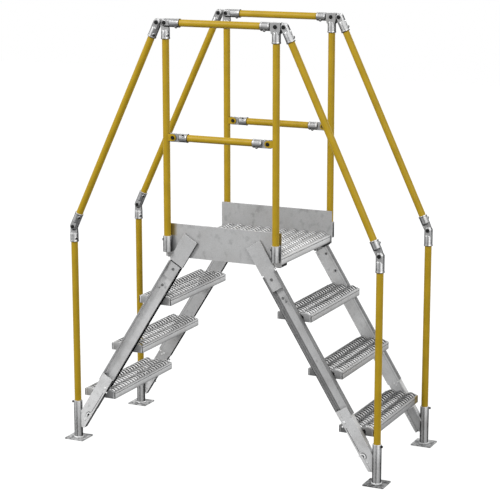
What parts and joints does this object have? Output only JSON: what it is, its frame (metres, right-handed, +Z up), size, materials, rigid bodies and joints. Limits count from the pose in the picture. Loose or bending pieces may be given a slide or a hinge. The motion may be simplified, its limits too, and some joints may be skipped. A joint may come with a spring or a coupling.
{
  "type": "crossover platform",
  "caption": "Free-standing steel crossover with two opposed flights of grating treads, a raised grating deck and yellow pipe handrails.",
  "frame": {"origin": "on the floor, at the centre of the footprint", "axes": "+X along the walkway to the right flight, +Y across the walkway to the far side, +Z up"},
  "size_m": [1.6968, 0.7456, 2.1033],
  "materials": {
    "galvanised_steel": "hot-dip galvanised, dull with smudges",
    "galvanised_grating": "galvanised serrated plank",
    "yellow_pipe": "safety yellow powder coat",
    "zinc_fitting": "galvanised casting"
  },
  "bodies": {
    "root": {"base_posts_far": "yellow_pipe", "base_posts_near": "yellow_pipe", "deck_plank_left": "galvanised_grating", "deck_plank_right": "galvanised_grating", "deck_posts_far": "yellow_pipe", "deck_posts_near": "yellow_pipe", "feet_far": "galvanised_steel", "feet_near": "galvanised_steel", "hanger_far_left": "galvanised_steel", "hanger_far_right": "galvanised_steel", "hanger_near_left": "galvanised_steel", "hanger_near_right": "galvanised_steel", "knee_swivels_far": "zinc_fitting", "knee_swivels_near": "zinc_fitting", "mid_rail_far": "yellow_pipe", "mid_rail_near": "yellow_pipe", "mid_swivels_far": "zinc_fitting", "mid_swivels_near": "zinc_fitting", "side_plate_far": "galvanised_steel", "side_plate_near": "galvanised_steel", "sloped_rails_far": "yellow_pipe", "sloped_rails_near": "yellow_pipe", "stringer_far_left": "galvanised_steel", "stringer_far_right": "galvanised_steel", "stringer_near_left": "galvanised_steel", "stringer_near_right": "galvanised_steel", "top_rail_far": "yellow_pipe", "top_rail_near": "yellow_pipe", "top_swivels_far": "zinc_fitting", "top_swivels_near": "zinc_fitting", "tread_left_1": "galvanised_grating", "tread_left_2": "galvanised_grating", "tread_left_3": "galvanised_grating", "tread_right_1": "galvanised_grating", "tread_right_2": "galvanised_grating", "tread_right_3": "galvanised_grating"}
  },
  "joints": []
}
